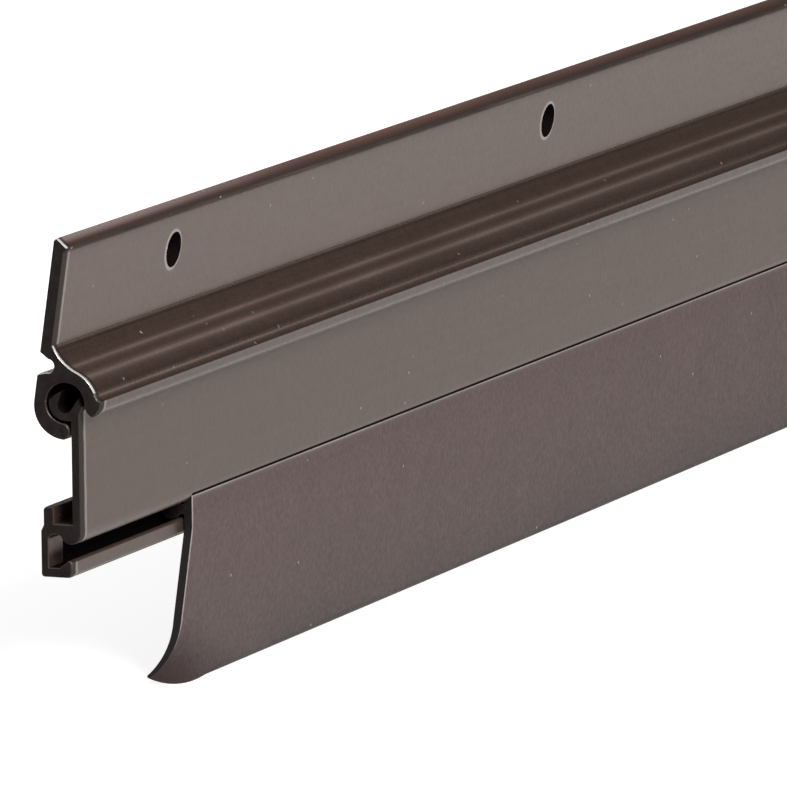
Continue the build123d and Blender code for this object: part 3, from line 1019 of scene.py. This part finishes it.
class DOORSEAL_OT_swing_leaf(Operator):
    """Model the leaf: knuckle, web, bulb, channel and rear groove"""

    bl_idname = "doorseal.swing_leaf"
    bl_label = "Swing leaf"

    def draw_outline(self, pen, hinge, leaf):
        knuckle = hinge.bore_radius - hinge.clearance
        web_front = knuckle - leaf.web_inset
        web_back = web_front - leaf.web_thickness
        hollow = (0, -leaf.hollow_drop)
        rear_root = on_circle(leaf.hollow_radius, leaf.rear_arm_slope + pi / 2, hollow)
        rear_tip = on_circle(leaf.rear_arm_reach, leaf.rear_arm_slope, rear_root)
        front_root = on_circle(leaf.hollow_radius, leaf.front_arm_slope - pi / 2, hollow)
        front_tip = on_circle(leaf.front_arm_reach, leaf.front_arm_slope, front_root)

        # Knuckle: the hollow for the wire is open at the top between two arms
        pen.start(rear_root)
        pen.turn(hollow, pi + leaf.front_arm_slope - leaf.rear_arm_slope)
        pen.line(front_tip, (front_tip[0] + leaf.front_arm_land, front_tip[1]))
        pen.line(on_circle(knuckle, leaf.knuckle_front))
        pen.turn((0, 0), -acos(web_front / knuckle) - leaf.knuckle_front)

        # Web, bulb and the arched roof of the channel
        bulb = (web_front - leaf.bulb_radius, -leaf.bulb_drop)
        channel_back = web_front - leaf.channel_depth
        channel_inner = channel_back + leaf.channel_wall
        arch_top = -leaf.bulb_drop - leaf.arch_drop
        arch_start = on_circle(leaf.bulb_radius, leaf.arch_angle, bulb)
        arch_end = (channel_inner, arch_top - leaf.channel_wall / 2)
        pen.line((web_front, -leaf.bulb_drop))
        pen.turn(bulb, leaf.arch_angle - 2 * pi)
        middle = ((bulb[0] - leaf.bulb_radius + channel_inner) / 2, arch_top)
        pen.bow(arch_end, self.bulge_through(arch_start, middle, arch_end))

        # Back wall, floor and lip of the channel
        lip_top = -leaf.bulb_drop - leaf.bulb_radius - leaf.channel_mouth
        floor_top = lip_top - leaf.lip_height
        floor_bottom = floor_top - leaf.channel_floor
        lip_front = web_front - leaf.lip_setback
        lip_back = lip_front - leaf.lip_thickness
        lip_start = (lip_back, lip_top - leaf.lip_height / 4)
        lip_end = (lip_front, lip_top - leaf.lip_height / 3)
        lip_middle = (lip_front - leaf.lip_thickness / 2, lip_top)
        pen.line((channel_inner, floor_top), (lip_back - leaf.lip_height, floor_top), lip_start)
        pen.bow(lip_end, self.bulge_through(lip_start, lip_middle, lip_end))
        pen.line(
            (lip_front, floor_bottom + leaf.channel_round),
            (lip_front - leaf.channel_round, floor_bottom),
            (channel_back + leaf.channel_round, floor_bottom),
        )
        pen.turn((channel_back + leaf.channel_round, floor_bottom + leaf.channel_round), -pi / 2)

        # Back of the channel, and the groove that is open upwards behind the web
        shelf = leaf.shelf_rise - leaf.bulb_drop
        groove_top = shelf + leaf.groove_depth
        groove_outer = channel_back + leaf.groove_inset
        groove_inner = groove_outer + leaf.groove_lip
        pen.line(
            (channel_back, shelf - leaf.shelf_rise / 2 - leaf.groove_inset),
            (groove_outer, shelf - leaf.shelf_rise / 2 + leaf.groove_inset),
            (groove_outer, groove_top - leaf.channel_round),
        )
        pen.turn((groove_outer + leaf.channel_round, groove_top - leaf.channel_round), -pi / 2)
        pen.line((groove_inner, groove_top), (groove_inner, shelf), (web_back, shelf))
        web_angle = -acos(web_back / knuckle)
        pen.line(on_circle(knuckle, web_angle))
        pen.turn((0, 0), leaf.knuckle_rear - 2 * pi - web_angle)
        pen.bow(rear_tip, REAR_ARM_BOW)
        pen.line(rear_root)
        pen.close()

    def bulge_through(self, start, middle, end):
        """How far the arc through three points stands off its chord, to the left of the way."""
        first, second, third = (Vector((*point, 0)) for point in (start, middle, end))
        chord = (third - first).length
        cross = (second - first).cross(third - first).z
        sides = (second - first).length * (third - second).length * chord
        radius = sides / (2 * abs(cross))
        depth = radius - sqrt(max(radius**2 - chord**2 / 4, 0))
        return -depth if cross > 0 else depth

    def part_at(self, *places):
        """Parts the long faces, at the fin's end and where the channel's painted shade begins."""
        mode("EDIT")
        for x in places:
            everything("SELECT")
            bpy.ops.mesh.bisect(plane_co=(x, 0, 0), plane_no=(1, 0, 0), threshold=WELD)
        mode("OBJECT")

    def painted_shade_test(self, hinge, leaf, fin):
        """Tells the faces that get painted shade: the hollow, the inside of the channel and the
        bulb's foot above the fin.
        """
        half = hinge.length / 2
        pen = Pen(hinge, 0, hinge.lean)
        knuckle = hinge.bore_radius - hinge.clearance
        web_front = knuckle - leaf.web_inset
        bulb = pen.place((web_front - leaf.bulb_radius, -leaf.bulb_drop))
        foot = pen.place((web_front, -leaf.bulb_drop)).z
        wall = web_front - leaf.channel_depth + leaf.channel_wall
        roof = -leaf.bulb_drop - leaf.arch_drop
        mouth = -leaf.bulb_drop - leaf.bulb_radius - leaf.channel_mouth
        floor = mouth - leaf.lip_height
        highest, lowest = (foot - leaf.bulb_radius * sin(radians(angle)) for angle in SHADED_FOOT)

        def in_painted_shade(face):
            place = face.calc_center_median()
            from_axis = place - pen.origin
            forward = from_axis.dot(pen.front)
            upward = from_axis.dot(pen.up)
            on_bulb = hypot(place.y - bulb.y, place.z - bulb.z) < 1.02 * leaf.bulb_radius
            beside_fin = place.x > fin.setback - half and abs(face.normal.x) < 0.5
            facing = face.normal.y < -0.7
            # The bulb's foot above the fin gets the painted shade of the joint's gap
            joint_shade = on_bulb and beside_fin and facing and lowest < place.z < highest
            in_hollow = hypot(from_axis.y, from_axis.z) < 0.94 * knuckle
            in_depth = wall - CLOSE < forward < web_front - leaf.bulb_radius
            in_height = floor - CLOSE < upward < roof + CLOSE
            deep = place.x > leaf.lit_depth - half
            side = deep and (forward < wall + CLOSE or upward > mouth)
            in_channel = in_depth and in_height and (side or upward < floor + CLOSE)
            return joint_shade or (abs(face.normal.x) < 0.9 and (in_hollow or in_channel))

        return in_painted_shade

    def execute(self, context):
        hinge, leaf, fin = sizes(context, "hinge", "leaf", "fin")
        half = hinge.length / 2
        piece = new_piece("bronze_swing_leaf")
        self.draw_outline(Pen(hinge, END_RUN - half, hinge.lean), hinge, leaf)
        extrude_filled(half)
        end = Pen(hinge, half).place((0, 0))
        depth = 2 * leaf.knuckle_setback
        cut(piece, cylinder_at(end, (1, 0, 0), hinge.bore_radius, depth, 64))
        ease_ends(piece, half)
        self.part_at(fin.setback - half, leaf.lit_depth - half)
        finish_bronze(piece, "leaf", "swing_leaf", self.painted_shade_test(hinge, leaf, fin))
        return {"FINISHED"}


class DOORSEAL_OT_vinyl_sweep(Operator):
    """Model the fin with its root, and bridge its stations to the curled corner"""

    bl_idname = "doorseal.vinyl_sweep"
    bl_label = "Vinyl sweep"

    def draw_station(self, hinge, leaf, fin, x, bend, stretch):
        web_front = hinge.bore_radius - hinge.clearance - leaf.web_inset
        bulb = (web_front - leaf.bulb_radius, -leaf.bulb_drop)
        crown = leaf.bulb_radius + fin.gap
        front = web_front - fin.inset
        back = front - fin.thickness
        front_angle = -acos((front - bulb[0]) / crown)
        back_angle = -acos((back - bulb[0]) / crown)
        mouth = -leaf.bulb_drop - leaf.bulb_radius - leaf.channel_mouth / 2
        bend_height = mouth - fin.bend_drop
        channel_inner = web_front - leaf.channel_depth + leaf.channel_wall
        root = (channel_inner + fin.root_gap + fin.root_radius, mouth)
        neck_angle = asin(fin.neck / 2 / fin.root_radius)
        straight = fin.length - fin.curl_length
        curl = fin.curl_length + stretch
        turn = bend * curl / fin.curl_length

        def down(distance, depth):
            return (
                front - distance * sin(fin.lean) - depth * cos(fin.lean),
                bend_height - distance * cos(fin.lean) + depth * sin(fin.lean),
            )

        chord = curl * (1 - turn**2 / 24)
        bulge = chord * turn / 8
        heading = fin.lean + turn / 2
        facing = fin.lean + turn
        curl_front = down(straight, 0)
        curl_back = down(straight, fin.thickness)
        tip_front = (curl_front[0] - chord * sin(heading), curl_front[1] - chord * cos(heading))
        tip_back = (
            tip_front[0] - fin.tip_thickness * cos(facing),
            tip_front[1] + fin.tip_thickness * sin(facing),
        )

        pen = Pen(hinge, x, hinge.lean)
        pen.start(on_circle(crown, back_angle, bulb))
        pen.turn(bulb, front_angle - back_angle, 6)
        pen.line((front, bend_height), curl_front)
        pen.bow(tip_front, bulge, 14)
        pen.bow(tip_back, fin.tip_thickness / 4, 4)
        pen.bow(curl_back, -bulge * 0.9, 14)
        pen.line((back, bend_height), (back, mouth - fin.neck / 2))
        pen.line(on_circle(fin.root_radius, -neck_angle, root))
        pen.turn(root, 2 * neck_angle - 2 * pi, 36)
        pen.line((back, mouth + fin.neck / 2), on_circle(crown, back_angle, bulb))
        pen.close(fill=False)

    def execute(self, context):
        hinge, leaf, fin = sizes(context, "hinge", "leaf", "fin")
        half = hinge.length / 2
        piece = new_piece("vinyl_fin")
        stations = []
        for step in range(CURL_STEPS + 1):
            share = step / CURL_STEPS
            stations.append(fin.setback - half + fin.curl_run * share)
            bend = fin.curl_angle * (1 - share) ** 3
            stretch = fin.curl_stretch * (1 - share**2)
            self.draw_station(hinge, leaf, fin, stations[-1], bend, stretch)
        stations.append(half)
        self.draw_station(hinge, leaf, fin, half, 0.0, 0.0)
        for near, far in zip(stations, stations[1:]):
            select_at("edges", near, far)
            bpy.ops.mesh.bridge_edge_loops()
        for x in (stations[0], half):
            select_at("edges", x)
            bpy.ops.mesh.edge_face_add()
        mode("OBJECT")
        materials = ("Brown vinyl", "Vinyl cut end")
        finish_piece(piece, materials, "leaf", "vinyl_sweep")
        return {"FINISHED"}


class DOORSEAL_OT_lift_spring(Operator):
    """Model the torsion wire: a round section drawn along its run and round its two bends"""

    bl_idname = "doorseal.lift_spring"
    bl_label = "Lift spring"

    def bend_to(self, corner, before, after, radius):
        """Draws the wire's end up to a corner and round it."""
        turn = before.angle(after)
        back = radius * tan(turn / 2)
        start = corner - before * back
        extrude(start - self.at)
        side = (after - before * after.dot(before)).normalized()
        bpy.ops.mesh.spin(
            steps=10,
            angle=-turn,
            center=start + side * radius,
            axis=before.cross(side),
            dupli=False,
        )
        self.at = corner + after * back

    def execute(self, context):
        hinge, leaf, wire = sizes(context, "hinge", "leaf", "wire")
        hollow = (0, -leaf.hollow_drop)
        anchor_x = hinge.length / 2 - wire.end_distance
        leg = Pen(hinge, anchor_x - wire.run, hinge.lean)
        self.at = leg.place(on_circle(wire.leg_reach, leaf.rear_arm_slope, hollow))
        corner = leg.place(hollow)
        last_corner = Pen(hinge, anchor_x, hinge.lean).place(hollow)
        last = Vector((last_corner.x, -wire.anchor_cover, last_corner.z))
        into_hollow = (corner - self.at).normalized()
        along = Vector((1, 0, 0))
        to_door = (last - last_corner).normalized()
        deselect()
        turn = into_hollow.to_track_quat("Z", "Y").to_euler()
        bpy.ops.mesh.primitive_circle_add(
            vertices=24,
            radius=wire.diameter / 2,
            fill_type="NGON",
            location=self.at,
            rotation=turn,
        )
        piece = bpy.context.active_object
        piece.name = "steel_torsion_wire"
        piece.data.name = piece.name
        bpy.ops.object.transform_apply(location=True, rotation=True, scale=True)
        mode("EDIT")
        bpy.context.tool_settings.mesh_select_mode = (False, False, True)
        everything("SELECT")
        self.bend_to(corner, into_hollow, along, wire.bend_radius)
        self.bend_to(last_corner, along, to_door, wire.bend_radius)
        extrude(last - self.at)
        bpy.context.tool_settings.mesh_select_mode = (True, False, False)
        mode("OBJECT")
        finish_piece(piece, ("Drawn spring steel",), "rail", "lift_spring")
        return {"FINISHED"}


class DOORSEAL_OT_stage(Operator):
    """Set the floor, the lamps, the room and the camera"""

    bl_idname = "doorseal.stage"
    bl_label = "Stage"

    def lamp(self, name, place, aim, size, power):
        bpy.ops.object.light_add(type="AREA", location=place)
        lamp = bpy.context.active_object
        lamp.name = name
        lamp.data.shape = "RECTANGLE"
        lamp.data.size, lamp.data.size_y = size
        lamp.data.energy = power
        lamp.rotation_euler = (Vector(aim) - Vector(place)).to_track_quat("-Z", "Y").to_euler()

    def floor(self, stage, height):
        """A pale floor that keeps the shadow, white to the camera and grey in reflections."""
        deselect()
        bpy.ops.mesh.primitive_plane_add(size=stage.floor_size, location=(0, 0, height))
        floor = bpy.context.active_object
        floor.name = "pale_floor"
        bpy.ops.object.transform_apply(location=True, rotation=True, scale=True)
        finish = Finish("Pale floor", (0.5, 0.5, 0.5), Roughness=0.9, Specular_IOR_Level=0.0)
        path = finish.node("LightPath").outputs
        mirrored = finish.largest(path["Is Glossy Ray"], path["Is Transmission Ray"])
        mirrored = finish.times(mirrored, stage.mirrored_glow)
        glow = finish.add(finish.times(path["Is Camera Ray"], stage.floor_glow), mirrored)
        finish.feed(
            Base_Color=(*finish.base, 1.0), Emission_Color=(1, 1, 1, 1), Emission_Strength=glow
        )
        floor.data.materials.append(finish.material)

    def room(self, scene, stage):
        """A room that is white to the camera, and in reflections bright only low down."""
        scene.world = bpy.data.worlds.new("Studio room")
        scene.world.use_nodes = True
        tree = Tree(scene.world.node_tree)
        tree.nodes.clear()
        path = tree.node("LightPath").outputs
        direction = tree.node("TexCoord").outputs["Generated"]
        height = tree.node("SeparateXYZ", direction).outputs["Z"]
        levels = (stage.sky_level, tree.spread(height, 0.9, 0.05, 0.0, 0.14), 1.0)
        sky, mirrored, white = (tree.node("Background", Strength=value) for value in levels)
        inner = tree.node("MixShader", path["Is Glossy Ray"], sky.outputs[0], mirrored.outputs[0])
        outer = tree.node("MixShader", path["Is Camera Ray"], inner.outputs[0], white.outputs[0])
        tree.node("OutputWorld", outer.outputs[0])

    def camera(self, scene, stage):
        bpy.ops.object.camera_add()
        camera = bpy.context.active_object
        camera.name = "photo_camera"
        camera.data.sensor_fit = "VERTICAL"
        camera.data.sensor_height = 36
        camera.data.lens = stage.lens
        camera.data.clip_end = 100
        back = CAMERA_RIGHT.cross(CAMERA_UP)
        turn = Matrix((CAMERA_RIGHT, CAMERA_UP, back)).transposed()
        camera.matrix_world = Matrix.Translation(CAMERA_PLACE) @ turn.to_4x4()
        scene.camera = camera

    def execute(self, context):
        scene = context.scene
        stage = scene.seal_stage
        scene.view_settings.view_transform = "Standard"
        self.floor(stage, cad_box[0][2] - 0.0001)
        self.room(scene, stage)
        left_end = (-0.44, -0.004, -0.01)
        self.lamp("key_softbox", (-1.03, -0.87, 1.07), left_end, (0.7, 0.7), stage.key_power)
        self.lamp("fill_softbox", (0.5, -1.6, 0.9), (0, 0, 0), (1.2, 1.0), stage.fill_power)
        self.camera(scene, stage)
        return {"FINISHED"}


class DOORSEAL_PT_panel(Panel):
    """Lists the pieces in the order in which they are made"""

    bl_idname = "DOORSEAL_PT_panel"
    bl_label = "Door bottom seal"
    bl_space_type = "VIEW_3D"
    bl_region_type = "UI"
    bl_category = "Door Seal"

    def draw(self, context):
        for operator in OPERATORS:
            self.layout.operator(operator.bl_idname)


GROUPS = {
    "seal_hinge": SealHingeSizes,
    "seal_rail": SealRailSizes,
    "seal_leaf": SealLeafSizes,
    "seal_fin": SealFinSizes,
    "seal_wire": SealWireSizes,
    "seal_colours": SealColours,
    "seal_stage": SealStageSizes,
}
OPERATORS = (
    DOORSEAL_OT_finishes,
    DOORSEAL_OT_mounting_rail,
    DOORSEAL_OT_swing_leaf,
    DOORSEAL_OT_vinyl_sweep,
    DOORSEAL_OT_lift_spring,
    DOORSEAL_OT_stage,
)


def register():
    for name, group in GROUPS.items():
        bpy.utils.register_class(group)
        setattr(bpy.types.Scene, name, PointerProperty(type=group))
    for operator in OPERATORS:
        bpy.utils.register_class(operator)
    bpy.utils.register_class(DOORSEAL_PT_panel)


def unregister():
    bpy.utils.unregister_class(DOORSEAL_PT_panel)
    for operator in reversed(OPERATORS):
        bpy.utils.unregister_class(operator)
    for name, group in reversed(GROUPS.items()):
        delattr(bpy.types.Scene, name)
        bpy.utils.unregister_class(group)


def main():
    register()
    for operator in OPERATORS:
        group, name = operator.bl_idname.split(".")
        getattr(getattr(bpy.ops, group), name)()


if __name__ == "__main__":
    main()
